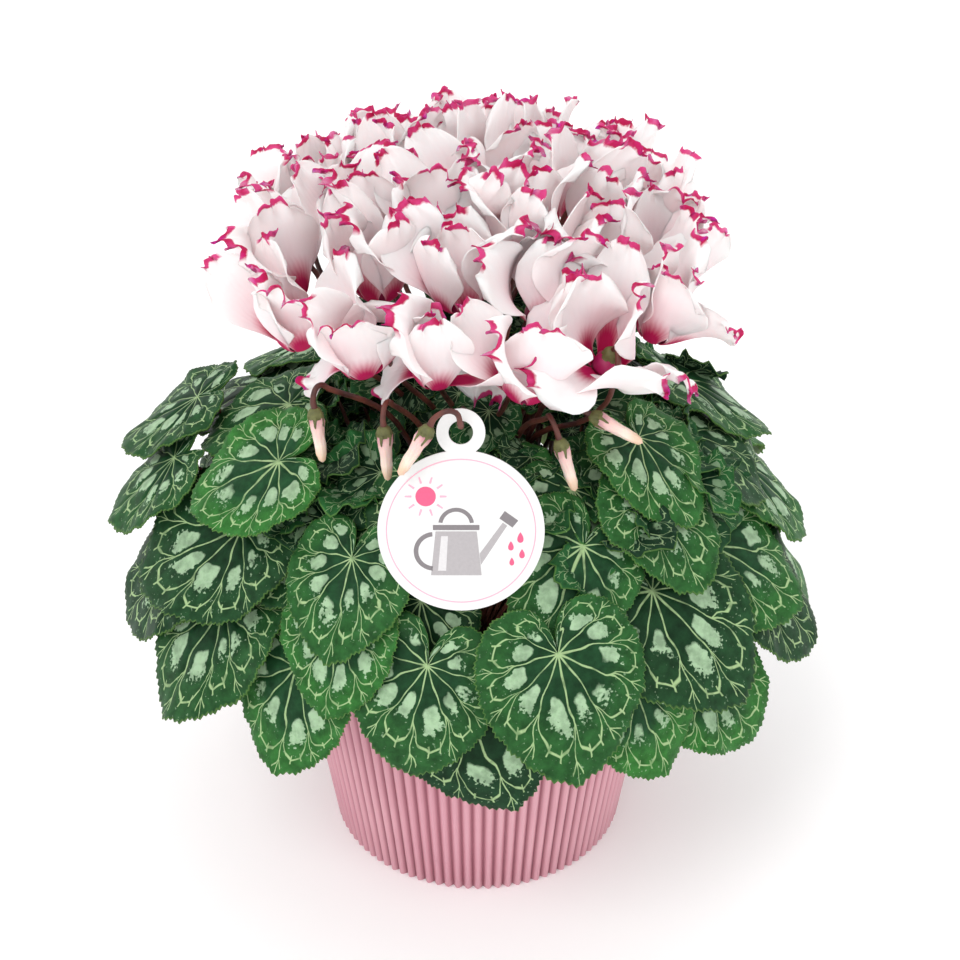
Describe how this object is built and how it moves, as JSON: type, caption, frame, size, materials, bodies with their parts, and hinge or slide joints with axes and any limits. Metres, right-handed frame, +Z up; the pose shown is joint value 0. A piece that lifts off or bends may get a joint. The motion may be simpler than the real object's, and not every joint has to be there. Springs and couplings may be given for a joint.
{
  "type": "potted cyclamen",
  "caption": "Flowering cyclamen in a ribbed tapered plastic pot, with heart-shaped leaves, frilled upswept blooms, drooping buds and a round hang tag.",
  "frame": {"origin": "centre of the pot's flat base, on the surface it stands on", "axes": "+Z up; the hang tag is on the -Y side; +X to the right of a viewer who faces the tag"},
  "size_m": [0.3401, 0.3228, 0.3706],
  "materials": {
    "pot": "matte",
    "soil": "matte",
    "tuber": "matte",
    "stem": "satin",
    "leaf": "satin",
    "petal": "matte",
    "bud": "matte",
    "tag": "satin"
  },
  "bodies": {
    "root": {"pot": "pot", "soil": "soil", "tuber": "tuber", "flower_stems": "stem", "tag": "tag", "bloom_01": "petal", "bloom_02": "petal", "bloom_03": "petal", "bloom_04": "petal", "bloom_05": "petal", "bloom_06": "petal", "bloom_07": "petal", "bloom_08": "petal", "bloom_09": "petal", "bloom_10": "petal", "bloom_11": "petal", "bloom_12": "petal", "bloom_13": "petal", "bloom_14": "petal", "bloom_15": "petal", "bloom_16": "petal", "bloom_17": "petal", "bloom_18": "petal", "bloom_19": "petal", "bloom_20": "petal", "bloom_21": "petal", "bloom_22": "petal", "bloom_23": "petal", "bloom_24": "petal", "bloom_25": "petal", "bloom_26": "petal", "bloom_27": "petal", "bloom_28": "petal", "bud_01": "bud", "bud_02": "bud", "bud_03": "bud", "bud_04": "bud", "bud_05": "bud", "leaf_group_01": "leaf", "leaf_group_02": "leaf", "leaf_group_03": "leaf", "leaf_group_04": "leaf", "leaf_group_05": "leaf", "leaf_group_06": "leaf", "leaf_group_07": "leaf", "leaf_group_08": "leaf", "leaf_group_09": "leaf", "leaf_group_10": "leaf", "leaf_group_11": "leaf", "leaf_group_12": "leaf", "leaf_group_13": "leaf", "leaf_group_14": "leaf", "leaf_group_15": "leaf", "leaf_group_16": "leaf", "leaf_group_17": "leaf"}
  },
  "joints": []
}
